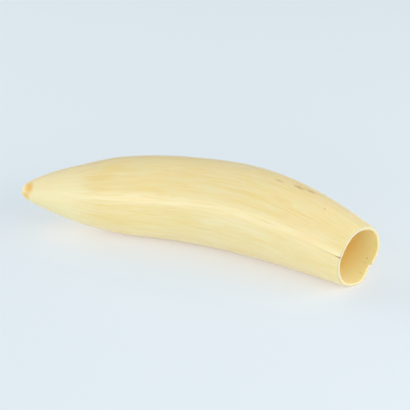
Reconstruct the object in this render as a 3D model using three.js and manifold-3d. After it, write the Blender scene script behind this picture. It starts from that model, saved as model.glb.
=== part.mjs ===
// A whale tooth lying on its side: one curved, tapering piece of ivory, hollow at its open root.
// Millimetres, +Z up. X runs from the crown's tip to the root along the chord, and the tooth bows
// towards +Y. It rests on the plane Z = 0, and the origin is the middle of its footprint.
import * as THREE from "three";
import { mergeVertices } from "three/addons/utils/BufferGeometryUtils.js";
import Module from "manifold-3d";

const degrees = THREE.MathUtils.degToRad;

// The spine, seen from above: a cubic Bezier curve of this length, with its end headings from the chord
const SPINE_LENGTH = 140;
const TIP_HEADING = degrees(29.4);
const ROOT_HEADING = degrees(23.9);
const HANDLE_SHARE = 0.37; // of the chord

// Outside radius at distances along the spine from the tip: [distance, radius]
const OUTSIDE = [
  [0, 2.5],
  [11, 7.6],
  [22.5, 11.4],
  [36.5, 14.7],
  [53, 16.1],
  [73, 16.8],
  [92, 17.0],
  [112, 15.7],
  [126, 14.1],
  [SPINE_LENGTH, 12.0],
];
const TIP_ROUND = 4.0; // the length over which the worn tip rounds off

// Pulp cavity, from its point to the rim: [distance from the tip, radius]
const CAVITY = [
  [66, 0],
  [80, 3.6],
  [96, 7.2],
  [112, 9.7],
  [126, 10.9],
  [SPINE_LENGTH, 10.7],
];
const RIM_ROUND = 0.45; // the rounding of the rim's two edges

// Height of the underside: it lies on the table along the belly and rises towards both ends
const BELLY_START = 47.5;
const BELLY_END = 119;
const TIP_RISE = 15.3;
const ROOT_RISE = 0.7;
const CONTACT_DEPTH = 0.12; // how much the belly is flattened where it touches the table

// Angles round a section are counted from the top, towards the hollow side of the curve
const OVAL = 0.011; // share of the radius by which a section is out of round
const OVAL_AXIS = degrees(60);
const LOBE = 0.006; // the same for a slightly three-sided form
const LOBE_AXIS = degrees(-11);
const RIM_WAVE = 0.25; // unevenness of the rim along the spine
const RIM_WAVE_AXIS = degrees(-23);
const RIM_ZONE = 9; // the stretch behind the rim that follows its unevenness

// A flake has broken off the rim on the far side: a step that fades out towards the bottom
const CHIP_ANGLE = degrees(233);
const CHIP_SPREAD = degrees(45);
const CHIP_DEPTH = 1.0;

// A drying crack runs into the rim on the near side
const CRACK_ANGLE = degrees(71);
const CRACK_LENGTH = 7;
const CRACK_WIDTH = 0.55;
const CRACK_DEPTH = 2.6; // along the radius, so that the crack goes through the wall
const CRACK_OVERRUN = 1; // past the rim and inside the wall

// Facets
const SIDES = 64;
const TIP_RINGS = 5;
const BODY_RINGS = 34;
const CAVITY_RINGS = 16;
const SEARCH_STEPS = 40;
const SLOPE_STEP = 0.5;
const MERGE_DISTANCE = 1e-4;

const IVORY = new THREE.MeshStandardMaterial({
  name: "ivory",
  color: new THREE.Color(0.87, 0.77, 0.53),
  roughness: 0.38,
  metalness: 0,
});

const wasm = await Module();
wasm.setup();

// The spine, scaled so that it has its length
function bowWithChord(chord) {
  const reach = HANDLE_SHARE * chord;
  return new THREE.CubicBezierCurve3(
    new THREE.Vector3(0, 0, 0),
    new THREE.Vector3(reach * Math.cos(TIP_HEADING), reach * Math.sin(TIP_HEADING), 0),
    new THREE.Vector3(chord - reach * Math.cos(ROOT_HEADING), reach * Math.sin(ROOT_HEADING), 0),
    new THREE.Vector3(chord, 0, 0),
  );
}
const spine = bowWithChord(SPINE_LENGTH / bowWithChord(1).getLength());

const outsideCurve = new THREE.SplineCurve(OUTSIDE.map(([at, radius]) => new THREE.Vector2(radius, at)));
const cavityCurve = new THREE.SplineCurve(CAVITY.map(([at, radius]) => new THREE.Vector2(radius, at)));

// The outside radius at a distance from the tip, before the tip is rounded
function outsideRadius(at) {
  let low = 0;
  let high = 1;
  for (let step = 0; step < SEARCH_STEPS; step++) {
    const middle = (low + high) / 2;
    if (outsideCurve.getPoint(middle).y < at) low = middle;
    else high = middle;
  }
  return outsideCurve.getPoint((low + high) / 2).x;
}

// The share of the radius that a slightly uneven section has at an angle round it
function outOfRound(angle) {
  return 1 + OVAL * Math.cos(2 * (angle - OVAL_AXIS)) + LOBE * Math.cos(3 * (angle - LOBE_AXIS));
}

// The height of the spine above the table
function spineHeight(at) {
  const beforeBelly = Math.max(0, (BELLY_START - at) / BELLY_START);
  const pastBelly = Math.max(0, (at - BELLY_END) / (SPINE_LENGTH - BELLY_END));
  const underside = TIP_RISE * beforeBelly ** 2 + ROOT_RISE * pastBelly ** 2;
  return outsideRadius(at) * outOfRound(Math.PI) + underside - CONTACT_DEPTH;
}

// The place and the three directions of the spine at a distance from the tip
function spineFrame(at) {
  const share = THREE.MathUtils.clamp(at / SPINE_LENGTH, 0, 1);
  const centre = spine.getPointAt(share).setZ(spineHeight(at));
  const before = Math.max(0, at - SLOPE_STEP);
  const after = Math.min(SPINE_LENGTH, at + SLOPE_STEP);
  const slope = (spineHeight(after) - spineHeight(before)) / (after - before);
  const along = spine.getTangentAt(share).setZ(slope).normalize();
  const near = new THREE.Vector3().crossVectors(along, new THREE.Vector3(0, 0, 1)).normalize();
  const up = new THREE.Vector3().crossVectors(near, along);
  return { centre, along, near, up };
}

// How far the rim stands back at an angle round it
function rimSetback(angle) {
  const wave = RIM_WAVE * (Math.sin(2 * (angle - RIM_WAVE_AXIS)) + Math.sin(5 * angle) / 2);
  const pastChip = CHIP_ANGLE - angle;
  const inChip = pastChip > 0 && pastChip < CHIP_SPREAD;
  const chip = inChip ? CHIP_DEPTH * (1 - THREE.MathUtils.smoothstep(pastChip, 0, CHIP_SPREAD)) : 0;
  return wave + chip;
}

// The closed outline that is turned into a straight tooth: tip, outside, rim, then back up the cavity
function toothOutline() {
  const outline = [new THREE.Vector2(0, 0)];
  for (let ring = 1; ring < TIP_RINGS; ring++) {
    const share = 1 - Math.cos((ring / TIP_RINGS) * (Math.PI / 2));
    const roundness = Math.sqrt(1 - (1 - share) ** 2);
    outline.push(new THREE.Vector2(outsideRadius(share * TIP_ROUND) * roundness, share * TIP_ROUND));
  }
  const rimEdge = SPINE_LENGTH - RIM_ROUND;
  for (let ring = 0; ring <= BODY_RINGS; ring++) {
    const at = TIP_ROUND + (ring / BODY_RINGS) * (rimEdge - TIP_ROUND);
    outline.push(new THREE.Vector2(outsideRadius(at), at));
  }
  const mouth = cavityCurve.getPoint(1).x;
  outline.push(new THREE.Vector2(outsideRadius(SPINE_LENGTH) - RIM_ROUND, SPINE_LENGTH));
  outline.push(new THREE.Vector2(mouth + RIM_ROUND, SPINE_LENGTH));
  outline.push(new THREE.Vector2(mouth, rimEdge));
  for (let ring = CAVITY_RINGS - 1; ring > 0; ring--) {
    outline.push(cavityCurve.getPoint(ring / CAVITY_RINGS));
  }
  outline.push(new THREE.Vector2(0, CAVITY[0][0]));
  return outline;
}

// Moves each point of the straight tooth to its place on the bowed spine
function bowOntoSpine(geometry) {
  const position = geometry.getAttribute("position");
  for (let i = 0; i < position.count; i++) {
    const turned = new THREE.Vector3().fromBufferAttribute(position, i);
    const angle = (Math.atan2(turned.x, turned.z) + 2 * Math.PI) % (2 * Math.PI);
    const swell = outOfRound(angle);
    const nearRim = THREE.MathUtils.smoothstep(turned.y, SPINE_LENGTH - RIM_ZONE, SPINE_LENGTH);
    const at = turned.y - nearRim * rimSetback(angle);
    const { centre, along, near, up } = spineFrame(at);
    const overshoot = Math.max(0, at - SPINE_LENGTH);
    centre.addScaledVector(along, overshoot);
    centre.addScaledVector(near, turned.x * swell);
    centre.addScaledVector(up, turned.z * swell);
    position.setXYZ(i, centre.x, centre.y, centre.z);
  }
  return geometry;
}

// A closed geometry as a solid that can be cut
function solidOf(geometry) {
  const bare = geometry.clone();
  bare.deleteAttribute("normal");
  bare.deleteAttribute("uv");
  const merged = mergeVertices(bare, MERGE_DISTANCE);
  return new wasm.Manifold(
    new wasm.Mesh({
      numProp: 3,
      vertProperties: new Float32Array(merged.getAttribute("position").array),
      triVerts: new Uint32Array(merged.index.array),
    }),
  );
}

function geometryOf(solid) {
  const { vertProperties, triVerts } = solid.getMesh();
  const geometry = new THREE.BufferGeometry();
  geometry.setAttribute("position", new THREE.BufferAttribute(vertProperties, 3));
  geometry.setIndex(new THREE.BufferAttribute(triVerts, 1));
  geometry.computeVertexNormals();
  return geometry;
}

// A thin wedge that opens towards the rim, laid in the wall along the spine
function crackWedge() {
  const wedge = new THREE.Shape([
    new THREE.Vector2(-CRACK_LENGTH, 0),
    new THREE.Vector2(CRACK_OVERRUN, -CRACK_WIDTH / 2),
    new THREE.Vector2(CRACK_OVERRUN, CRACK_WIDTH / 2),
  ]);
  const geometry = new THREE.ExtrudeGeometry(wedge, { depth: CRACK_DEPTH, bevelEnabled: false });
  const { centre, along, near, up } = spineFrame(SPINE_LENGTH);
  const outward = up.clone().applyAxisAngle(along, CRACK_ANGLE);
  const across = new THREE.Vector3().crossVectors(outward, along);
  const wallStart = cavityCurve.getPoint(1).x - CRACK_OVERRUN;
  centre.addScaledVector(outward, wallStart);
  return geometry.applyMatrix4(new THREE.Matrix4().makeBasis(along, across, outward).setPosition(centre));
}

// Everything below the table, wide enough to take the whole tooth
function tableBlock() {
  const size = 2 * SPINE_LENGTH;
  return new THREE.BoxGeometry(size, size, size).translate(SPINE_LENGTH / 2, 0, -size / 2);
}

function makeTooth() {
  const straight = new THREE.LatheGeometry(toothOutline(), SIDES);
  const bowed = solidOf(bowOntoSpine(straight));
  const cracked = bowed.subtract(solidOf(crackWedge()));
  const geometry = geometryOf(cracked.subtract(solidOf(tableBlock())));
  geometry.computeBoundingBox();
  const middle = geometry.boundingBox.getCenter(new THREE.Vector3());
  const tooth = new THREE.Mesh(geometry, IVORY);
  tooth.name = "tooth";
  tooth.position.set(-middle.x, -middle.y, 0);
  return tooth;
}

const part = new THREE.Group();
part.add(makeTooth());

export default part;
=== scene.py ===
"""A whale tooth of old, polished ivory that lies on a pale table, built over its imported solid."""

import math

import bpy
import numpy as np
from bpy.props import FloatProperty, FloatVectorProperty, PointerProperty
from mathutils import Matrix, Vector


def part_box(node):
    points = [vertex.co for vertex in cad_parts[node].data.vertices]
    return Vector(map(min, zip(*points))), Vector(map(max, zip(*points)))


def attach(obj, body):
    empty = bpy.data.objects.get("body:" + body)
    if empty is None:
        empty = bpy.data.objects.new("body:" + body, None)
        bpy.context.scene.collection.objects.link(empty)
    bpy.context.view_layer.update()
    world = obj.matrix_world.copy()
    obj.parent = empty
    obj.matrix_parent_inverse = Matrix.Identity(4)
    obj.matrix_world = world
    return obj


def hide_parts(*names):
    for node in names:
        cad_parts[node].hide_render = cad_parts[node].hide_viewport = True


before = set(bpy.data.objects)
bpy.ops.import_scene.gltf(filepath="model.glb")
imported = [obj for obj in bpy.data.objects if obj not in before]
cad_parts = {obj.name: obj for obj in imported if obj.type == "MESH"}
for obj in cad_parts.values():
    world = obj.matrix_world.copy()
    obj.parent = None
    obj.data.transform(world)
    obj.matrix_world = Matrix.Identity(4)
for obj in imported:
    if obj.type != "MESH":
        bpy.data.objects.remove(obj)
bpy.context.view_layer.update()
TOOTH_LOW, TOOTH_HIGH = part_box("tooth")
TOOTH_MIDDLE = (TOOTH_LOW + TOOTH_HIGH) / 2
TOOTH_REACH = TOOTH_HIGH.x - TOOTH_LOW.x

bl_info = {
    "name": "Whale tooth",
    "version": (1, 0, 0),
    "blender": (4, 5, 0),
    "location": "View3D > Sidebar > Whale tooth",
    "description": "Builds a curved ivory tooth with an open root and the pale table that it lies on",
    "category": "Object",
}

MM = 0.001

# The form below is in millimetres, for a tooth of this length along its curve
SPINE_LENGTH = 140.0
TIP_HEADING = math.radians(29.4)
ROOT_HEADING = math.radians(23.9)
HANDLE_SHARE = 0.37
SPINE_STEPS = 2000
SLOPE_STEP = 0.5

# Radius at distances from the tip: (distance, radius)
OUTSIDE = (
    (0, 2.5), (11, 7.6), (22.5, 11.4), (36.5, 14.7), (53, 16.1),
    (73, 16.8), (92, 17.0), (112, 15.7), (126, 14.1), (SPINE_LENGTH, 12.0),
)
CAVITY_POINT = 66.0
CAVITY = ((CAVITY_POINT, 0), (80, 3.6), (96, 7.2), (112, 9.7), (126, 10.9), (SPINE_LENGTH, 10.7))
TIP_ROUND = 4.0
TIP_BLUNTNESS = 3.2  # 2 rounds the tip off as an ellipse, and more makes it blunter
RIM_ROUND = 0.45
RIM_EDGE = SPINE_LENGTH - RIM_ROUND

# Height of the underside: on the table along the belly, and rising towards both ends
BELLY_START = 47.5
BELLY_END = 119.0
TIP_RISE = 15.3
ROOT_RISE = 0.7
CONTACT_DEPTH = 0.12

# Angles round a section are counted from the top, towards the hollow side of the curve
BOTTOM = math.pi
FULL_TURN = 2 * math.pi
OVAL = 0.011
OVAL_AXIS = math.radians(60)
LOBE = 0.006
LOBE_AXIS = math.radians(-11)
RIM_WAVE = 0.25
RIM_WAVE_AXIS = math.radians(-23)
RIM_ZONE = 9.0
CHIP_ANGLE = math.radians(233)
CHIP_SPREAD = math.radians(45)
CHIP_STEP = math.radians(4)
RIM_LIP = 1.1  # how far the rim stands out at the bottom
RIM_LIP_ANGLE = math.radians(184)
RIM_LIP_SPREAD = math.radians(34)
SPLINTER_COUNTS = range(9, 40, 3)
SPLINTER_DEPTHS = (0.01, 0.03)
SPLINTERS_UNBROKEN = 0.5  # share of the splinters' depth, outside the chip
CRACK_ANGLE = math.radians(71)
CRACK_GROOVE_START = 100.0
CRACK_GROOVE_HALF = 0.2
CRACK_OPEN = 2.0  # the last stretch before the rim, where the crack is open and dark
CRACK_DEEPENING = 1.5  # by how many times its own depth the groove gets deeper there

# The crown is smooth, and the root behind it is finely fluted
CROWN_END = 24.0
CROWN_SHARE = 0.2  # share of the root's flutes and streaks that the crown has
CAP_STEP = 0.07
CAP_EDGE = (3.0, 3.8)
FLUTE_COUNTS = range(14, 62)
FLUTE_RISE = (CROWN_END - 5, CROWN_END + 8)
FLUTE_WANDER = (0.4, 1.6)
FLUTE_WANDER_LENGTHS = (18, 50)
FLUTE_FADE_LENGTHS = (12, 40)
SWELL_LENGTHS = (23.0, 37.0, 61.0)
SWELL_COUNTS = (1, 2, 3)
SWELL_DEPTH = 0.05
SWELL_RISE = (6, 30)
RIM_SMOOTHING = 0.8  # share of the relief that is lost on the last stretch before the rim
RIM_SMOOTH_LENGTH = 3.0
RELIEF_RADIUS = 3.0  # the relief fades out where the radius is smaller
SEED = 7

# Mesh
COLUMNS = 300
BODY_STEP = 0.85
RIM_STEP = 0.36
RIM_STEPS_FROM = 128.0
TIP_STEPS = 14
ARC_STEPS = 5
CAVITY_STEPS = 58
CAVITY_CROWDING = 1.35  # above 1, the cavity's rings are closer together near the rim
COLUMN_GAP = math.radians(0.2)
CRACK_COLUMNS = (0.0, 0.15, 0.3, 0.5, 0.75, 1.05, 1.4, 1.9)  # degrees to each side
CHIP_COLUMNS = (-0.5, 0.0, 0.5, 1.0, 1.5, 2.0, 2.5, 3.0, 3.5, 4.0, 4.6)  # degrees past the step
OUTSIDE_SLOT, RIM_SLOT, CAVITY_SLOT = range(3)

# Places of the colour sockets on a mix node
MIX_COLOURS = (6, 7)
MIX_RESULT = 2

# Table, lights and camera: lights by degrees from the front and upwards, and sizes in tooth lengths
TABLE_HALF = 12.0
TABLE_MOTTLING = 1.02  # how many times as bright the palest places are
GLOW_REACH = 25 * MM  # how far from the tooth the painted warm glow reaches on the table
CONTACT_SKY = (0.02, 0.10)  # share of open sky on the table where the painted shadow under the tooth is full, and where it ends
LIGHT_DISTANCE = 6.0
STRIP_PLACE = (-12, 16)
STRIP_SIZE = (8.5, 1.2)
STRIP_COLOUR = (0.90, 0.93, 1.0)
LEFT_PLACE = (-95, 22)
RIGHT_PLACE = (95, 22)
PANEL_SIZE = (5.0, 3.0)
MOUTH_LIGHT_PLACE = (62, 20)
MOUTH_LIGHT_SIZE = (2.5, 2.5)
SENSOR_WIDTH = 36
VIEW_CENTRE = Vector((-2.39, -3.25, 14.0)) * MM
VIEW_RIGHT = 4.63 * MM  # how far the camera stands to the right of the view's centre, and above it
VIEW_UP = 4.33 * MM

# Ivory
WRAP_RADIUS = 15.0  # of the straight cylinder that the markings are drawn on
IVORY_IOR = 1.54
GLOW_DEPTH = 4.0 * MM
GLOW_SPREAD = (1.0, 0.6, 0.22)  # of red, green and blue light, in glow depths
BUMP_HEIGHT = 0.06 * MM
OUTSIDE_BUMP = 0.15
RIM_BUMP = 0.5
CAVITY_BUMP = 0.35
OUTSIDE_GRAIN = 0.45
RIM_GRAIN = 0.3
CAVITY_GRAIN = 0.4
GRAIN_STRETCH = 9.0
STREAK_ROUGHNESS = 0.16
CROWN_ROUGHNESS = 0.12
RIM_ROUGHNESS = 0.4
CAVITY_ROUGHNESS = 0.45
GRAIN_ROUGHNESS = 0.2
STREAK_WEAR = 0.4  # how much of the polish the narrow streaks have lost
CAVITY_SHINE = 0.2

# Streaks: sizes across and along, a start of their own, and the range of the noise that shows
BROAD_STREAKS = {"Across": 2.6, "Along": 26.0, "Start": 3.0, "Low": 0.42, "High": 0.72}
NARROW_STREAKS = {"Across": 0.65, "Along": 11.0, "Start": 11.0, "Low": 0.44, "High": 0.72}
PALE_STREAKS = {"Across": 1.1, "Along": 15.0, "Start": 23.0, "Low": 0.45, "High": 0.78}
CROWN_WAVER = {"Across": 3.0, "Along": 12.0, "Start": 31.0, "Low": 0.0, "High": 1.0}
RIM_STREAKS = {"Across": 2.0, "Along": 8.0, "Start": 7.0, "Low": 0.4, "High": 0.75}
CAVITY_STREAKS = {"Across": 2.6, "Along": 22.0, "Start": 17.0, "Low": 0.4, "High": 0.75}
BROAD_STRENGTH = 0.6
NARROW_STRENGTH = 0.65
PALE_STRENGTH = 0.5
RIM_STRENGTH = 0.3
CAVITY_STRENGTH = 0.12
CROWN_WAVER_LENGTH = 14.0  # how far the crown's edge wavers along the tooth
CROWN_FADE = (CROWN_END - 12.0, CROWN_END - 1.0)
# The crack takes the stain colour: brown dirt in the crack, with painted shade inside it that is darkest
# where it is open.
CRACK_SHADE = 0.10
CRACK_OPEN_SHADE = 0.45
CRACK_SHADE_RISE = (SPINE_LENGTH - CRACK_OPEN, SPINE_LENGTH - 0.5)
RIM_CRACK_SHADE = 0.7
RIM_INSIDE = (0.45, 0.05)  # shares of the wall, from the cavity, over which the rim takes its colour
RIM_INSIDE_STRENGTH = 0.6
CAVITY_SHADE_RISE = (SPINE_LENGTH - 2.0, SPINE_LENGTH - 20.0)

# Markings, and a patch of painted bounce light: (distance from the tip, degrees round the section, half
# width, half length, strength)
STAINS = (
    (110, 356, 1.4, 3.0, 0.5), (114, 351, 1.4, 3.4, 0.5),
    (102.5, 2, 1.0, 2.6, 0.35), (124, 11, 0.5, 0.55, 0.5),
)
PATCHES_AND_PAINTED_BOUNCE = (
    (36, 19, 2.6, 8.0, 0.6), (31, 37, 2.6, 9.0, 0.6), (32, 56, 1.6, 8.0, 0.6), (100, 40, 1.4, 8.0, 0.55),
    # The broad patch at 40 mm and 100 degrees is painted warm bounce light on the lower front side.
    (109, 31, 1.3, 6.0, 0.55), (40, 100, 7.0, 22.0, 0.35), (112, 8, 2.2, 9.0, 0.4),
)
CAP_SPOTS = (
    (2.3, 38, 15.0, 2.3, 1.0), (1.4, 106, 12.0, 1.8, 0.8),
    (2.1, 200, 11.0, 1.8, 0.8), (2.3, 300, 11.0, 1.8, 0.8),
)
PITS = ((137.2, 239, 0.5, 0.4, 0.7), (137.8, 229, 0.5, 0.4, 0.6), (138.6, 207, 0.3, 2.4, 0.4))
SPOT_FADE = (1.0, 0.25)  # from a spot's edge to where it is full, in half sizes
NOISE_MIDDLE = 0.5
PATCHES_AND_BOUNCE_RAGGED = 1.6
STAINS_RAGGED = 1.2
CAP_SPOTS_RAGGED = 0.8
PITS_RAGGED = 0.6


class ToothShape(bpy.types.PropertyGroup):
    """Sizes of the tooth."""

    length: FloatProperty(
        name="Length", description="Length along the curve, from the tip to the rim",
        default=SPINE_LENGTH * MM, min=0.02, unit="LENGTH", precision=4,
    )
    flute_depth: FloatProperty(
        name="Flutes", description="Depth of the fine lengthwise flutes on the root",
        default=0.014 * MM, min=0, unit="LENGTH", precision=6,
    )
    chip_depth: FloatProperty(
        name="Chip", description="How far the broken flake sets the rim back",
        default=0.9 * MM, min=0, unit="LENGTH", precision=5,
    )
    crack_length: FloatProperty(
        name="Crack length", description="Length of the open crack in the rim",
        default=1.6 * MM, min=0, unit="LENGTH", precision=5,
    )
    crack_width: FloatProperty(
        name="Crack width", description="Width of the open crack at the rim",
        default=0.34 * MM, min=0, unit="LENGTH", precision=5,
    )
    crack_groove: FloatProperty(
        name="Crack groove", description="Depth of the hairline groove that goes on from the crack",
        default=0.02 * MM, min=0, unit="LENGTH", precision=6,
    )


class ToothFinish(bpy.types.PropertyGroup):
    """Colours and polish of the ivory."""

    crown: FloatVectorProperty(
        name="Crown", description="Smooth ivory near the tip",
        default=(0.935, 0.81, 0.455), min=0, max=1, size=3, subtype="COLOR",
    )
    root: FloatVectorProperty(
        name="Root", description="Ivory of the long root",
        default=(0.935, 0.78, 0.395), min=0, max=1, size=3, subtype="COLOR",
    )
    streak: FloatVectorProperty(
        name="Streak", description="Darker lengthwise streaks",
        default=(0.89, 0.70, 0.25), min=0, max=1, size=3, subtype="COLOR",
    )
    pale: FloatVectorProperty(
        name="Pale streak", description="Paler lengthwise streaks",
        default=(0.965, 0.88, 0.58), min=0, max=1, size=3, subtype="COLOR",
    )
    # Also the painted shade inside the crack, besides brown stains and pits.
    stain_and_crack_shade: FloatVectorProperty(
        name="Stain", description="Brown stains, pits and the inside of the crack",
        default=(0.50, 0.28, 0.04), min=0, max=1, size=3, subtype="COLOR",
    )
    cap: FloatVectorProperty(
        name="Cap", description="Orange spots at the worn tip",
        default=(0.90, 0.58, 0.14), min=0, max=1, size=3, subtype="COLOR",
    )
    # Painted shade: the pale ivory of the cut face, darkened.
    rim: FloatVectorProperty(
        name="Rim", description="Pale broken edge of the root",
        default=(0.68, 0.60, 0.41), min=0, max=1, size=3, subtype="COLOR",
    )
    cavity_mouth: FloatVectorProperty(
        name="Cavity mouth", description="Inside of the root near the rim",
        default=(0.985, 0.835, 0.46), min=0, max=1, size=3, subtype="COLOR",
    )
    cavity_depth: FloatVectorProperty(
        name="Cavity depth", description="Inside of the root, deep down",
        default=(0.985, 0.67, 0.14), min=0, max=1, size=3, subtype="COLOR",
    )
    roughness: FloatProperty(
        name="Roughness", description="Roughness of the polished outside",
        default=0.34, min=0, max=1, subtype="FACTOR",
    )
    polish: FloatProperty(
        name="Polish", description="Strength of the clear shine over the ivory",
        default=0.6, min=0, max=1, subtype="FACTOR",
    )
    shine: FloatProperty(
        name="Shine", description="Strength of the mirror-like reflections of the outside",
        default=0.9, min=0, max=1, subtype="FACTOR",
    )
    glow: FloatProperty(
        name="Glow", description="Share of light that spreads under the outside",
        default=0.4, min=0, max=1, subtype="FACTOR",
    )
    cavity_glow: FloatProperty(
        name="Cavity glow", description="Share of light that spreads under the inside of the root",
        default=0.4, min=0, max=1, subtype="FACTOR",
    )


class StageLook(bpy.types.PropertyGroup):
    """Table, lights and camera."""

    table: FloatVectorProperty(
        name="Table", description="Colour of the table",
        default=(0.50, 0.50, 0.50), min=0, max=1, size=3, subtype="COLOR",
    )
    table_glow: FloatVectorProperty(
        name="Table glow", description="Light that comes up through the table",
        default=(0.298, 0.380, 0.432), min=0, max=1, size=3, subtype="COLOR",
    )
    # Painted light: a warm glow on the table beside the tooth, standing in for light through the tooth.
    painted_warm_glow: FloatVectorProperty(
        name="Warm glow", description="Light that comes through the tooth onto the table beside it",
        default=(0.15, 0.045, 0.0), min=0, max=1, size=3, subtype="COLOR",
    )
    # Painted shadow: a dimmer, warmer glow of the table where the tooth touches it.
    painted_contact_shade: FloatVectorProperty(
        name="Contact", description="Light that comes through the table where the tooth touches it",
        default=(0.22, 0.17, 0.13), min=0, max=1, size=3, subtype="COLOR",
    )
    sky: FloatProperty(
        name="Sky", description="Strength of the even light from all round",
        default=0.51, min=0,
    )
    strip: FloatProperty(
        name="Strip", description="Power of the long low light in front",
        default=1.9, min=0, unit="POWER",
    )
    left: FloatProperty(
        name="Left panel", description="Power of the soft light at the tip's side",
        default=2.0, min=0, unit="POWER",
    )
    right: FloatProperty(
        name="Right panel", description="Power of the soft light at the open root's side",
        default=2.9, min=0, unit="POWER",
    )
    mouth: FloatProperty(
        name="Mouth light", description="Power of the soft light that faces the open root",
        default=1.9, min=0, unit="POWER",
    )
    azimuth: FloatProperty(
        name="Azimuth", description="Direction of the camera round the tooth, from the front",
        default=math.radians(19.6), subtype="ANGLE", unit="ROTATION",
    )
    elevation: FloatProperty(
        name="Elevation", description="Height of the camera as an angle",
        default=math.radians(26.0), subtype="ANGLE", unit="ROTATION",
    )
    distance: FloatProperty(
        name="Distance", description="Distance of the camera",
        default=5.005 * TOOTH_REACH, min=0.05, unit="LENGTH",
    )
    lens: FloatProperty(
        name="Lens", description="Focal length of the camera",
        default=162.1, min=10, subtype="DISTANCE_CAMERA",
    )


def smoothstep(value, low, high):
    """0 below low, 1 above high, and a smooth rise between them."""
    share = np.clip((value - low) / (high - low), 0, 1)
    return share * share * (3 - 2 * share)


def curve_through(stations):
    """A function that gives a smooth cubic curve through (place, value) stations."""
    place, value = np.array(stations, float).T
    gap = np.diff(place)
    slope = np.diff(value) / gap
    count = len(place)
    system = np.eye(count)
    turn = np.zeros(count)
    for i in range(1, count - 1):
        system[i, i - 1:i + 2] = gap[i - 1], 2 * (gap[i - 1] + gap[i]), gap[i]
        turn[i] = 6 * (slope[i] - slope[i - 1])
    bend = np.linalg.solve(system, turn)

    def at(where):
        i = np.clip(np.searchsorted(place, where) - 1, 0, count - 2)
        right = (where - place[i]) / gap[i]
        left = 1 - right
        sag = (left ** 3 - left) * bend[i] + (right ** 3 - right) * bend[i + 1]
        return left * value[i] + right * value[i + 1] + gap[i] ** 2 / 6 * sag

    return at


outside_radius = curve_through(OUTSIDE)
cavity_radius = curve_through(CAVITY)


def spine_table():
    """Distances along the bowed spine with their places, seen from above, for its full length."""
    tip = np.array((math.cos(TIP_HEADING), math.sin(TIP_HEADING))) * HANDLE_SHARE
    root = np.array((-math.cos(ROOT_HEADING), math.sin(ROOT_HEADING))) * HANDLE_SHARE
    end = np.array((1.0, 0.0))
    t = np.linspace(0, 1, SPINE_STEPS)[:, None]
    places = 3 * t * (1 - t) ** 2 * tip + 3 * t * t * (1 - t) * (end + root) + t ** 3 * end
    distance = np.concatenate(([0], np.cumsum(np.linalg.norm(np.diff(places, axis=0), axis=1))))
    scale = SPINE_LENGTH / distance[-1]
    return distance * scale, places * scale


SPINE_AT, SPINE_PLACE = spine_table()


def out_of_round(angle):
    """The share of the radius that a slightly uneven section has at an angle."""
    return 1 + OVAL * np.cos(2 * (angle - OVAL_AXIS)) + LOBE * np.cos(3 * (angle - LOBE_AXIS))


def spine_point(at):
    """Points of the spine at distances from the tip, no farther than its end."""
    inside = np.clip(at, 0, SPINE_LENGTH)
    before = np.maximum(0, (BELLY_START - inside) / BELLY_START)
    past = np.maximum(0, (inside - BELLY_END) / (SPINE_LENGTH - BELLY_END))
    underside = TIP_RISE * before ** 2 + ROOT_RISE * past ** 2
    height = outside_radius(inside) * out_of_round(BOTTOM) + underside - CONTACT_DEPTH
    plan = [np.interp(inside, SPINE_AT, SPINE_PLACE[:, i]) for i in range(2)]
    return np.stack((*plan, height), axis=-1)


def unit(vectors):
    """The vectors at a length of 1."""
    return vectors / np.linalg.norm(vectors, axis=-1, keepdims=True)


def spine_frame(at):
    """Centres of sections, straight on past the spine's end, and directions to the hollow side and up."""
    before = np.clip(at - SLOPE_STEP, 0, SPINE_LENGTH - 2 * SLOPE_STEP)
    along = unit(spine_point(before + 2 * SLOPE_STEP) - spine_point(before))
    near = unit(np.cross(along, (0, 0, 1)))
    up = np.cross(near, along)
    beyond = np.maximum(0, at - SPINE_LENGTH)[..., None]
    return spine_point(at) + beyond * along, near, up


def column_angles():
    """Angles of the mesh's columns, closer together at the crack and at the chip's step."""
    sides = np.radians(CRACK_COLUMNS)
    chip = CHIP_ANGLE - np.radians(CHIP_COLUMNS)
    close = np.concatenate((CRACK_ANGLE - sides[1:], CRACK_ANGLE + sides, chip))
    even = np.linspace(0, FULL_TURN, COLUMNS, endpoint=False)
    apart = np.abs(even[:, None] - close[None]).min(axis=1) > COLUMN_GAP
    return np.sort(np.concatenate((even[apart], close)))


def ring_outline():
    """The tooth's outline from the tip over the rim to the cavity's end: distances, radii and slots."""
    turn = np.linspace(0, math.pi / 2, TIP_STEPS + 1)[1:]
    tip_at = (1 - np.cos(turn)) * TIP_ROUND
    body_at = np.concatenate((
        np.arange(TIP_ROUND + BODY_STEP, RIM_STEPS_FROM, BODY_STEP),
        np.linspace(RIM_STEPS_FROM, RIM_EDGE, round((RIM_EDGE - RIM_STEPS_FROM) / RIM_STEP)),
    ))
    arc = np.linspace(0, math.pi / 2, ARC_STEPS + 1)[1:]
    out = RIM_ROUND * np.sin(arc)
    inset = RIM_ROUND * (1 - np.cos(arc))
    rim_out = outside_radius(SPINE_LENGTH) - inset
    rim_in = cavity_radius(SPINE_LENGTH) + inset[::-1]
    rim_at = RIM_EDGE + np.concatenate((out, out[::-1]))
    share = np.linspace(0, 1, CAVITY_STEPS + 1)[:-1]
    cavity_at = RIM_EDGE - (RIM_EDGE - CAVITY_POINT) * share ** CAVITY_CROWDING
    at = np.concatenate((tip_at, body_at, rim_at, cavity_at))
    radius = np.concatenate((
        outside_radius(tip_at) * (1 - np.cos(turn) ** TIP_BLUNTNESS) ** (1 / TIP_BLUNTNESS),
        outside_radius(body_at),
        rim_out, rim_in,
        cavity_radius(cavity_at),
    ))
    counts = (len(tip_at) + len(body_at), len(rim_at), len(cavity_at))
    slots = np.repeat((OUTSIDE_SLOT, RIM_SLOT, CAVITY_SLOT), counts)
    return at, radius, slots


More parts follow.
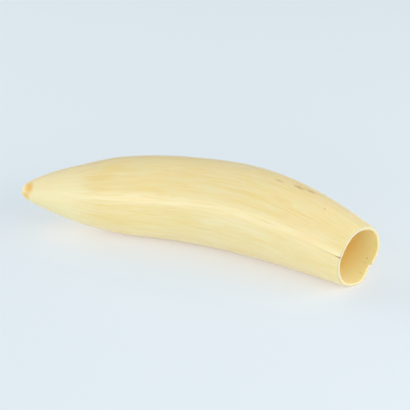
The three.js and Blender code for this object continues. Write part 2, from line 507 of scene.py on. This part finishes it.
def rim_setback(angle, shape, random):
    """How far the rim stands back at each angle: waves, the broken flake, a lip and small splinters."""
    wave = RIM_WAVE * (np.sin(2 * (angle - RIM_WAVE_AXIS)) + np.sin(5 * angle) / 2)
    past_chip = CHIP_ANGLE - angle
    in_chip = (past_chip > 0) & (past_chip < CHIP_SPREAD)
    chip = shape.chip_depth / MM * smoothstep(past_chip, 0, CHIP_STEP)
    chip = chip * in_chip * (1 - smoothstep(past_chip, 0, CHIP_SPREAD))
    splinters = sum(
        random.uniform(*SPLINTER_DEPTHS) * np.cos(count * angle + random.uniform(0, FULL_TURN))
        for count in SPLINTER_COUNTS
    )
    lip = RIM_LIP * np.exp(-(((angle - RIM_LIP_ANGLE) / RIM_LIP_SPREAD) ** 2))
    return wave + chip - lip + splinters * (SPLINTERS_UNBROKEN + in_chip)


def slow_wave(at, lengths, random):
    """A wave along the tooth, between -1 and 1, with a random length and start."""
    length = random.uniform(*lengths)
    return np.sin(at / length + random.uniform(0, FULL_TURN))


def flutes(at, angle, random):
    """Fine lengthwise ridges, between about -1 and 1, that wander a little along the tooth."""
    height = np.zeros(np.broadcast(at, angle).shape)
    for count in FLUTE_COUNTS:
        start = random.uniform(0, FULL_TURN)
        wander = random.uniform(*FLUTE_WANDER) * slow_wave(at, FLUTE_WANDER_LENGTHS, random)
        fade = (1 + slow_wave(at, FLUTE_FADE_LENGTHS, random)) / 2
        height += fade * np.cos(count * angle + start + wander)
    return height / math.sqrt(len(FLUTE_COUNTS))


def swells(at, angle, random):
    """Slow unevenness of the surface, between about -1 and 1."""
    height = np.zeros(np.broadcast(at, angle).shape)
    for length in SWELL_LENGTHS:
        for count in SWELL_COUNTS:
            start = random.uniform(0, FULL_TURN)
            height += np.cos(FULL_TURN * at / length + count * angle + start) / count
    return height / len(SWELL_LENGTHS)


def crack_masks(at, radius, angle):
    """Distances from the crack's line, how deep its groove is there, and how far the crack is open."""
    turned = (angle - CRACK_ANGLE + math.pi) % FULL_TURN - math.pi
    from_crack = np.abs(turned) * radius
    grooved = smoothstep(at, CRACK_GROOVE_START, SPINE_LENGTH)
    groove = np.exp(-((from_crack / CRACK_GROOVE_HALF) ** 2)) * grooved
    opened = smoothstep(at, SPINE_LENGTH - CRACK_OPEN, SPINE_LENGTH)
    return from_crack, groove, opened


def surface_relief(at, angle, shape, random):
    """Height of the flutes, the swells and the worn cap over the smooth outside."""
    fluted = CROWN_SHARE + (1 - CROWN_SHARE) * smoothstep(at, *FLUTE_RISE)
    relief = shape.flute_depth / MM * flutes(at, angle, random) * fluted
    relief += SWELL_DEPTH * swells(at, angle, random) * smoothstep(at, *SWELL_RISE)
    relief *= 1 - RIM_SMOOTHING * smoothstep(at, SPINE_LENGTH - RIM_SMOOTH_LENGTH, SPINE_LENGTH)
    return relief - CAP_STEP * (1 - smoothstep(at, *CAP_EDGE))


def tooth_points(shape):
    """The mesh's points in millimetres as rings by columns, with what the markings need to know."""
    random = np.random.default_rng(SEED)
    at, radius, slots = ring_outline()
    angle = column_angles()[None]
    at = at[:, None]
    radius = radius[:, None]
    outer = (slots == OUTSIDE_SLOT)[:, None]
    setback = rim_setback(angle, shape, random)
    relief = surface_relief(at, angle, shape, random)
    from_crack, crack, opened = crack_masks(at, radius, angle)
    relief -= shape.crack_groove / MM * crack * (1 + CRACK_DEEPENING * opened)
    half_width = shape.crack_width / MM / 2
    notch = shape.crack_length / MM * np.maximum(0, 1 - from_crack / half_width)
    near_rim = smoothstep(at, SPINE_LENGTH - RIM_ZONE, SPINE_LENGTH)
    moved_at = at - near_rim * (setback + notch)
    reach = radius * out_of_round(angle) + outer * relief * np.minimum(1, radius / RELIEF_RADIUS)
    centre, near, up = spine_frame(moved_at)
    across = near * (reach * np.sin(angle))[..., None] + up * (reach * np.cos(angle))[..., None]
    points = centre + across
    points[..., 2] = np.maximum(points[..., 2], 0)
    round_section = (WRAP_RADIUS * np.sin(angle), WRAP_RADIUS * np.cos(angle))
    wrap = np.stack(np.broadcast_arrays(*round_section, at), axis=-1)
    inside = cavity_radius(SPINE_LENGTH)
    wall = outside_radius(SPINE_LENGTH) - inside
    layer = np.broadcast_to((radius - inside) / wall, crack.shape)
    return points, slots, {"wrap": wrap, "crack": crack, "layer": layer}


def add_attribute(mesh, name, values, first, last):
    """Stores values of the rings, and of the two end points, as an attribute of the mesh's points."""
    width = values.shape[2] if values.ndim == 3 else 1
    kind, field = ("FLOAT_VECTOR", "vector") if width == 3 else ("FLOAT", "value")
    flat = np.concatenate((np.ravel(first), values.reshape(-1), np.ravel(last)))
    mesh.attributes.new(name, kind, "POINT").data.foreach_set(field, flat.astype(np.float32))


def tooth_mesh(shape):
    """One closed mesh: a fan at the tip, rings over the outside, rim and cavity, a fan at its end."""
    points, slots, marks = tooth_points(shape)
    rings, columns = points.shape[:2]
    tip = spine_frame(np.array(0.0))[0]
    depth = spine_frame(np.array(CAVITY_POINT))[0]
    rows = np.concatenate((tip[None], points.reshape(-1, 3), depth[None]))
    rows *= shape.length / SPINE_LENGTH
    middle = (rows.min(axis=0) + rows.max(axis=0)) / 2
    place = np.array((TOOTH_MIDDLE.x, TOOTH_MIDDLE.y, TOOTH_LOW.z))
    rows += place - np.array((middle[0], middle[1], 0))
    column = np.arange(columns)
    after = (column + 1) % columns
    start = 1 + np.arange(rings - 1)[:, None] * columns
    here = start + column
    beside = start + after
    quads = np.stack((here, beside, beside + columns, here + columns), axis=-1)
    last_ring = 1 + (rings - 1) * columns
    tip_fan = np.stack((np.zeros_like(column), 1 + after, 1 + column), axis=-1)
    last_point = np.full_like(column, len(rows) - 1)
    end_fan = np.stack((last_ring + column, last_ring + after, last_point), axis=-1)
    faces = tip_fan.tolist() + quads.reshape(-1, 4).tolist() + end_fan.tolist()
    mesh = bpy.data.meshes.new("whale_tooth")
    mesh.from_pydata(rows.tolist(), [], faces)
    face_slots = np.concatenate((
        np.full(columns, OUTSIDE_SLOT), np.repeat(slots[1:], columns), np.full(columns, CAVITY_SLOT),
    ))
    mesh.polygons.foreach_set("material_index", face_slots.astype(np.int32))
    mesh.polygons.foreach_set("use_smooth", np.ones(len(faces), dtype=bool))
    add_attribute(mesh, "wrap", marks["wrap"], (0, 0, 0), (0, 0, CAVITY_POINT))
    add_attribute(mesh, "crack", marks["crack"], 0, 0)
    add_attribute(mesh, "layer", marks["layer"], 1, 0)
    mesh.update()
    return mesh


def put(tree, socket, value):
    """Links a node's output to a socket, or sets the socket to a plain value."""
    if isinstance(value, bpy.types.NodeSocket):
        tree.links.new(value, socket)
    else:
        socket.default_value = value


def node(tree, kind, inputs=None, **settings):
    """Adds a shader node with its settings, and links or sets its inputs."""
    made = tree.nodes.new("ShaderNode" + kind)
    for name, value in settings.items():
        setattr(made, name, value)
    for key, value in (inputs or {}).items():
        put(tree, made.inputs[key], value)
    return made


def calculate(tree, operation, *values):
    """The result of one step of arithmetic, in the shader."""
    return node(tree, "Math", dict(enumerate(values)), operation=operation).outputs[0]


def calculate_vector(tree, operation, first, second):
    """The result of one step of arithmetic with vectors, in the shader."""
    return node(tree, "VectorMath", {0: first, 1: second}, operation=operation).outputs[0]


def rise(tree, value, low, high):
    """0 at low and 1 at high, with a smooth rise, or a fall if low is the larger."""
    made = node(tree, "MapRange", {"Value": value, "From Min": low, "From Max": high})
    made.interpolation_type = "SMOOTHSTEP"
    return made.outputs["Result"]


def combine(tree, across, along):
    """A vector with one value for both directions across the tooth and one for the direction along it."""
    return node(tree, "CombineXYZ", {0: across, 1: across, 2: along}).outputs[0]


def mix(tree, share, first, second):
    """The first colour where the share is 0, the second one where it is 1."""
    made = node(tree, "Mix", {0: share}, data_type="RGBA")
    for index, colour in zip(MIX_COLOURS, (first, second)):
        is_socket = isinstance(colour, bpy.types.NodeSocket)
        put(tree, made.inputs[index], colour if is_socket else (*colour, 1))
    return made.outputs[MIX_RESULT]


def mix_masked(tree, mask, strength, first, second):
    """The first colour, with the second one laid over it where the mask is, as strongly as given."""
    return mix(tree, calculate(tree, "MULTIPLY", mask, strength), first, second)


def new_group(name, inputs, outputs):
    """An empty shader group with its sockets: (the group, what it is given, what it makes)."""
    group = bpy.data.node_groups.new(name, "ShaderNodeTree")
    for socket, kind, default in inputs:
        entry = group.interface.new_socket(socket, in_out="INPUT", socket_type="NodeSocket" + kind)
        entry.default_value = default
    for socket in outputs:
        group.interface.new_socket(socket, in_out="OUTPUT", socket_type="NodeSocketFloat")
    given = group.nodes.new("NodeGroupInput").outputs
    made = group.nodes.new("NodeGroupOutput").inputs
    return group, given, made


def streak_group():
    """Streaks that run along the tooth: noise on the straight cylinder, drawn out lengthwise."""
    group, given, made = new_group(
        "Lengthwise streaks",
        (
            ("Wrap", "Vector", (0, 0, 0)), ("Across", "Float", 2.0), ("Along", "Float", 40.0),
            ("Start", "Float", 0.0), ("Low", "Float", 0.4), ("High", "Float", 0.7),
        ),
        ("Mask",),
    )
    size = combine(group, given["Across"], given["Along"])
    place = calculate_vector(group, "DIVIDE", given["Wrap"], size)
    shift = combine(group, given["Start"], given["Start"])
    place = calculate_vector(group, "ADD", place, shift)
    noise = node(group, "TexNoise", {"Vector": place, "Scale": 1.0, "Detail": 3.0, "Roughness": 0.55})
    group.links.new(rise(group, noise.outputs[0], given["Low"], given["High"]), made["Mask"])
    return group


def spot_group():
    """A soft spot with a ragged outline, at a place on the straight cylinder."""
    group, given, made = new_group(
        "Ragged spot",
        (
            ("Wrap", "Vector", (0, 0, 0)), ("Centre", "Vector", (0, 0, 0)), ("Across", "Float", 1.0),
            ("Along", "Float", 1.0), ("Ragged", "Float", 0.5),
        ),
        ("Mask",),
    )
    size = combine(group, given["Across"], given["Along"])
    offset = calculate_vector(group, "SUBTRACT", given["Wrap"], given["Centre"])
    offset = calculate_vector(group, "DIVIDE", offset, size)
    far = node(group, "VectorMath", {0: offset}, operation="LENGTH").outputs["Value"]
    noise = node(group, "TexNoise", {"Vector": given["Wrap"], "Scale": 1.6, "Detail": 3.0})
    uneven = calculate(group, "SUBTRACT", noise.outputs[0], NOISE_MIDDLE)
    edge = calculate(group, "MULTIPLY", uneven, given["Ragged"])
    group.links.new(rise(group, calculate(group, "ADD", far, edge), *SPOT_FADE), made["Mask"])
    return group


def grain_group():
    """Fine grain of ivory: drawn-out pores, and a faint mottling."""
    group, given, made = new_group(
        "Ivory grain",
        (("Wrap", "Vector", (0, 0, 0)), ("Size", "Float", 0.5)),
        ("Height", "Mottle"),
    )
    long_size = calculate(group, "MULTIPLY", given["Size"], GRAIN_STRETCH)
    size = combine(group, given["Size"], long_size)
    place = calculate_vector(group, "DIVIDE", given["Wrap"], size)
    pores = node(group, "TexNoise", {"Vector": place, "Scale": 1.0, "Detail": 4.0, "Roughness": 0.6})
    patches = node(group, "TexNoise", {"Vector": given["Wrap"], "Scale": 0.09, "Detail": 3.0})
    group.links.new(pores.outputs[0], made["Height"])
    group.links.new(patches.outputs[0], made["Mottle"])
    return group


def place_group(tree, group, wrap, **inputs):
    """Adds a shared group with its inputs, and gives its outputs."""
    return node(tree, "Group", {"Wrap": wrap, **inputs}, node_tree=group).outputs


def wrap_place(at, angle_degrees):
    """A place on the straight cylinder, from the distance to the tip and the angle."""
    angle = math.radians(angle_degrees)
    return WRAP_RADIUS * math.sin(angle), WRAP_RADIUS * math.cos(angle), at


def new_material(name):
    """A material whose only shader is a Principled one: (material, tree, shader, wrap socket)."""
    material = bpy.data.materials.new(name)
    material.use_nodes = True
    tree = material.node_tree
    tree.nodes.clear()
    shader = node(tree, "BsdfPrincipled", {"IOR": IVORY_IOR})
    node(tree, "OutputMaterial", {"Surface": shader.outputs[0]})
    wrap = node(tree, "Attribute", attribute_name="wrap").outputs["Vector"]
    return material, tree, shader, wrap


def add_spots(tree, group, wrap, colour, spots, spot_colour, ragged):
    """Lays ragged spots of one colour over a surface's colour."""
    for at, angle, across, along, strength in spots:
        centre = wrap_place(at, angle)
        size = {"Across": across, "Along": along}
        spot = place_group(tree, group, wrap, Centre=centre, Ragged=ragged, **size)
        colour = mix_masked(tree, spot["Mask"], strength, colour, spot_colour)
    return colour


def finish_surface(tree, shader, colour, roughness, height, bump_strength, glow):
    """Joins the surface's colour, shine and bump to its shader."""
    tree.links.new(colour, shader.inputs["Base Color"])
    tree.links.new(roughness, shader.inputs["Roughness"])
    bump = node(tree, "Bump", {"Height": height, "Strength": bump_strength, "Distance": BUMP_HEIGHT})
    tree.links.new(bump.outputs[0], shader.inputs["Normal"])
    shader.inputs["Subsurface Weight"].default_value = glow
    shader.inputs["Subsurface Radius"].default_value = GLOW_SPREAD
    shader.inputs["Subsurface Scale"].default_value = GLOW_DEPTH


def outside_material(finish, streaks, spot, grain):
    """Polished ivory: a smooth pale crown, a streaked root with patches, orange spots at the tip, a few
    stains, and painted warm bounce light low on the front.
    """
    material, tree, shader, wrap = new_material("ivory_outside")
    at = node(tree, "SeparateXYZ", {0: wrap}).outputs[2]
    fine = place_group(tree, grain, wrap, Size=OUTSIDE_GRAIN)
    broad = place_group(tree, streaks, wrap, **BROAD_STREAKS)
    narrow = place_group(tree, streaks, wrap, **NARROW_STREAKS)
    pale = place_group(tree, streaks, wrap, **PALE_STREAKS)
    waver = place_group(tree, streaks, wrap, **CROWN_WAVER)
    edge = calculate(tree, "MULTIPLY_ADD", waver["Mask"], -CROWN_WAVER_LENGTH, at)
    on_root = rise(tree, edge, *CROWN_FADE)
    streaked = calculate(tree, "MULTIPLY_ADD", on_root, 1 - CROWN_SHARE, CROWN_SHARE)
    colour = mix(tree, on_root, finish.crown, finish.root)
    for streak, strength in ((broad, BROAD_STRENGTH), (narrow, NARROW_STRENGTH)):
        share = calculate(tree, "MULTIPLY", streaked, strength)
        colour = mix_masked(tree, streak["Mask"], share, colour, finish.streak)
    colour = mix_masked(tree, pale["Mask"], PALE_STRENGTH, colour, finish.pale)
    colour = add_spots(tree, spot, wrap, colour, PATCHES_AND_PAINTED_BOUNCE, finish.streak, PATCHES_AND_BOUNCE_RAGGED)
    colour = add_spots(tree, spot, wrap, colour, STAINS, finish.stain_and_crack_shade, STAINS_RAGGED)
    colour = add_spots(tree, spot, wrap, colour, CAP_SPOTS, finish.cap, CAP_SPOTS_RAGGED)
    # Brown dirt and painted shade along the crack.
    crack = node(tree, "Attribute", attribute_name="crack").outputs["Fac"]
    opened = rise(tree, at, *CRACK_SHADE_RISE)
    shade = calculate(tree, "MULTIPLY_ADD", opened, CRACK_OPEN_SHADE, CRACK_SHADE)
    colour = mix_masked(tree, crack, shade, colour, finish.stain_and_crack_shade)
    roughness = calculate(tree, "MULTIPLY_ADD", narrow["Mask"], STREAK_ROUGHNESS, finish.roughness)
    on_crown = calculate(tree, "SUBTRACT", 1.0, on_root)
    roughness = calculate(tree, "MULTIPLY_ADD", on_crown, CROWN_ROUGHNESS, roughness)
    height = calculate(tree, "ADD", fine["Height"], narrow["Mask"])
    worn = calculate(tree, "MULTIPLY_ADD", narrow["Mask"], -STREAK_WEAR, finish.polish)
    polished = calculate(tree, "MULTIPLY", worn, on_root)
    tree.links.new(polished, shader.inputs["Coat Weight"])
    shader.inputs["Coat Roughness"].default_value = finish.roughness
    shader.inputs["Specular IOR Level"].default_value = finish.shine
    finish_surface(tree, shader, colour, roughness, height, OUTSIDE_BUMP, finish.glow)
    return material


def rim_material(finish, streaks, grain):
    """The root's broken edge: pale ivory darkened with painted shade, that takes the cavity's colour on
    its inside.
    """
    material, tree, shader, wrap = new_material("ivory_rim")
    fine = place_group(tree, grain, wrap, Size=RIM_GRAIN)
    layer = node(tree, "Attribute", attribute_name="layer").outputs["Fac"]
    streak = place_group(tree, streaks, wrap, **RIM_STREAKS)
    inner = rise(tree, layer, *RIM_INSIDE)
    colour = mix_masked(tree, inner, RIM_INSIDE_STRENGTH, finish.rim, finish.cavity_mouth)
    colour = mix_masked(tree, streak["Mask"], RIM_STRENGTH, colour, finish.streak)
    # Brown dirt and painted shade in the crack on the cut face.
    crack = node(tree, "Attribute", attribute_name="crack").outputs["Fac"]
    colour = mix_masked(tree, crack, RIM_CRACK_SHADE, colour, finish.stain_and_crack_shade)
    roughness = calculate(tree, "MULTIPLY_ADD", fine["Height"], GRAIN_ROUGHNESS, RIM_ROUGHNESS)
    finish_surface(tree, shader, colour, roughness, fine["Height"], RIM_BUMP, finish.glow)
    return material


def cavity_material(finish, streaks, spot, grain):
    """The hollow of the root: yellow at the mouth and orange inside, with two pits and a dark line."""
    material, tree, shader, wrap = new_material("ivory_cavity")
    at = node(tree, "SeparateXYZ", {0: wrap}).outputs[2]
    fine = place_group(tree, grain, wrap, Size=CAVITY_GRAIN)
    streak = place_group(tree, streaks, wrap, **CAVITY_STREAKS)
    depth = rise(tree, at, *CAVITY_SHADE_RISE)
    colour = mix(tree, depth, finish.cavity_mouth, finish.cavity_depth)
    colour = mix_masked(tree, streak["Mask"], CAVITY_STRENGTH, colour, finish.streak)
    colour = add_spots(tree, spot, wrap, colour, PITS, finish.stain_and_crack_shade, PITS_RAGGED)
    roughness = calculate(tree, "MULTIPLY_ADD", fine["Mottle"], GRAIN_ROUGHNESS, CAVITY_ROUGHNESS)
    height = calculate(tree, "ADD", fine["Height"], streak["Mask"])
    shader.inputs["Specular IOR Level"].default_value = CAVITY_SHINE
    finish_surface(tree, shader, colour, roughness, height, CAVITY_BUMP, finish.cavity_glow)
    return material


def table_material(look):
    """Matt pale table that gives off a little light, with a painted warm glow beside the tooth and a
    painted shadow where the tooth touches it.
    """
    material = bpy.data.materials.new("pale_table")
    material.use_nodes = True
    tree = material.node_tree
    tree.nodes.clear()
    shader = node(tree, "BsdfPrincipled", {"Roughness": 1.0, "Specular IOR Level": 0.0})
    node(tree, "OutputMaterial", {"Surface": shader.outputs[0]})
    place = node(tree, "TexCoord").outputs["Object"]
    noise = node(tree, "TexNoise", {"Vector": place, "Scale": 6.0, "Detail": 2.0})
    paler = [TABLE_MOTTLING * part for part in look.table]
    tree.links.new(mix(tree, noise.outputs[0], look.table, paler), shader.inputs["Base Color"])
    # Painted warm light: the table glows warmer where the tooth hides open sky.
    open_sky = node(tree, "AmbientOcclusion", {"Distance": GLOW_REACH}, samples=16).outputs["AO"]
    both = [low + high for low, high in zip(look.table_glow, look.painted_warm_glow)]
    glow = mix(tree, open_sky, both, look.table_glow)
    # Painted shadow: the table glows dimmer and warmer where the tooth touches it.
    beside_contact = rise(tree, open_sky, *CONTACT_SKY)
    tree.links.new(mix(tree, beside_contact, look.painted_contact_shade, glow), shader.inputs["Emission Color"])
    shader.inputs["Emission Strength"].default_value = 1
    return material


def link(thing):
    """Puts an object into the scene."""
    bpy.context.scene.collection.objects.link(thing)
    return thing


def aim(thing, target):
    """Turns a camera or a light towards a point."""
    thing.rotation_euler = (Vector(target) - thing.location).to_track_quat("-Z", "Y").to_euler()


def direction(azimuth, elevation):
    """Where something stands round the tooth, as a direction from it."""
    flat = math.cos(elevation)
    return Vector((math.sin(azimuth) * flat, -math.cos(azimuth) * flat, math.sin(elevation)))


def add_light(name, place, size, power, colour=(1, 1, 1)):
    """A soft light that faces the tooth, with its size in tooth lengths."""
    data = bpy.data.lights.new(name, "AREA")
    data.shape = "RECTANGLE"
    data.size, data.size_y = (side * TOOTH_REACH for side in size)
    data.energy = power
    data.color = colour
    light = link(bpy.data.objects.new(name, data))
    towards = direction(*(math.radians(angle) for angle in place))
    light.location = TOOTH_MIDDLE + towards * LIGHT_DISTANCE * TOOTH_REACH
    aim(light, TOOTH_MIDDLE)


class WHALETOOTH_OT_stage(bpy.types.Operator):
    """Make the table, the lights and the camera"""

    bl_idname = "whale_tooth.make_stage"
    bl_label = "Make stage"

    def execute(self, context):
        look = context.scene.whale_tooth_stage
        self.make_table(look)
        self.make_lights(context.scene, look)
        self.make_camera(context.scene, look)
        return {"FINISHED"}

    def make_table(self, look):
        half = TABLE_HALF * TOOTH_REACH
        height = TOOTH_LOW.z
        mesh = bpy.data.meshes.new("table")
        corners = [(x * half, y * half, height) for x, y in ((-1, -1), (1, -1), (1, 1), (-1, 1))]
        mesh.from_pydata(corners, [], [(0, 1, 2, 3)])
        mesh.materials.append(table_material(look))
        link(bpy.data.objects.new("table", mesh))

    def make_lights(self, scene, look):
        add_light("strip", STRIP_PLACE, STRIP_SIZE, look.strip, STRIP_COLOUR)
        add_light("left_panel", LEFT_PLACE, PANEL_SIZE, look.left)
        add_light("right_panel", RIGHT_PLACE, PANEL_SIZE, look.right)
        add_light("mouth_light", MOUTH_LIGHT_PLACE, MOUTH_LIGHT_SIZE, look.mouth)
        world = bpy.data.worlds.new("even_light")
        world.use_nodes = True
        background = world.node_tree.nodes["Background"].inputs
        background["Color"].default_value = (1, 1, 1, 1)
        background["Strength"].default_value = look.sky
        scene.world = world
        scene.view_settings.view_transform = "Standard"

    def make_camera(self, scene, look):
        data = bpy.data.cameras.new("camera")
        data.lens = look.lens
        data.sensor_width = SENSOR_WIDTH
        camera = link(bpy.data.objects.new("camera", data))
        back = direction(look.azimuth, look.elevation)
        right = Vector((math.cos(look.azimuth), math.sin(look.azimuth), 0))
        up = back.cross(right)
        camera.location = VIEW_CENTRE + look.distance * back + VIEW_RIGHT * right + VIEW_UP * up
        camera.rotation_euler = back.to_track_quat("Z", "Y").to_euler()
        scene.camera = camera


class WHALETOOTH_OT_tooth(bpy.types.Operator):
    """Make the ivory tooth with its relief and markings"""

    bl_idname = "whale_tooth.make_tooth"
    bl_label = "Make tooth"

    def execute(self, context):
        shape = context.scene.whale_tooth_shape
        finish = context.scene.whale_tooth_finish
        mesh = tooth_mesh(shape)
        streaks = streak_group()
        spot = spot_group()
        grain = grain_group()
        mesh.materials.append(outside_material(finish, streaks, spot, grain))
        mesh.materials.append(rim_material(finish, streaks, grain))
        mesh.materials.append(cavity_material(finish, streaks, spot, grain))
        tooth = link(bpy.data.objects.new("whale_tooth", mesh))
        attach(tooth, "root")
        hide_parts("tooth")
        return {"FINISHED"}


class WHALETOOTH_PT_panel(bpy.types.Panel):
    """Sizes, finish and stage of the whale tooth"""

    bl_idname = "WHALETOOTH_PT_panel"
    bl_label = "Whale tooth"
    bl_space_type = "VIEW_3D"
    bl_region_type = "UI"
    bl_category = "Whale tooth"

    def draw(self, context):
        scene = context.scene
        for settings, operator in (
            (scene.whale_tooth_shape, None),
            (scene.whale_tooth_finish, WHALETOOTH_OT_tooth),
            (scene.whale_tooth_stage, WHALETOOTH_OT_stage),
        ):
            box = self.layout.box()
            for name in settings.__annotations__:
                box.prop(settings, name)
            if operator:
                box.operator(operator.bl_idname)


CLASSES = (
    ToothShape, ToothFinish, StageLook,
    WHALETOOTH_OT_stage, WHALETOOTH_OT_tooth, WHALETOOTH_PT_panel,
)


def register():
    for item in CLASSES:
        bpy.utils.register_class(item)
    bpy.types.Scene.whale_tooth_shape = PointerProperty(type=ToothShape)
    bpy.types.Scene.whale_tooth_finish = PointerProperty(type=ToothFinish)
    bpy.types.Scene.whale_tooth_stage = PointerProperty(type=StageLook)


def unregister():
    del bpy.types.Scene.whale_tooth_stage
    del bpy.types.Scene.whale_tooth_finish
    del bpy.types.Scene.whale_tooth_shape
    for item in reversed(CLASSES):
        bpy.utils.unregister_class(item)


def main():
    register()
    bpy.ops.whale_tooth.make_stage()
    bpy.ops.whale_tooth.make_tooth()


if __name__ == "__main__":
    main()
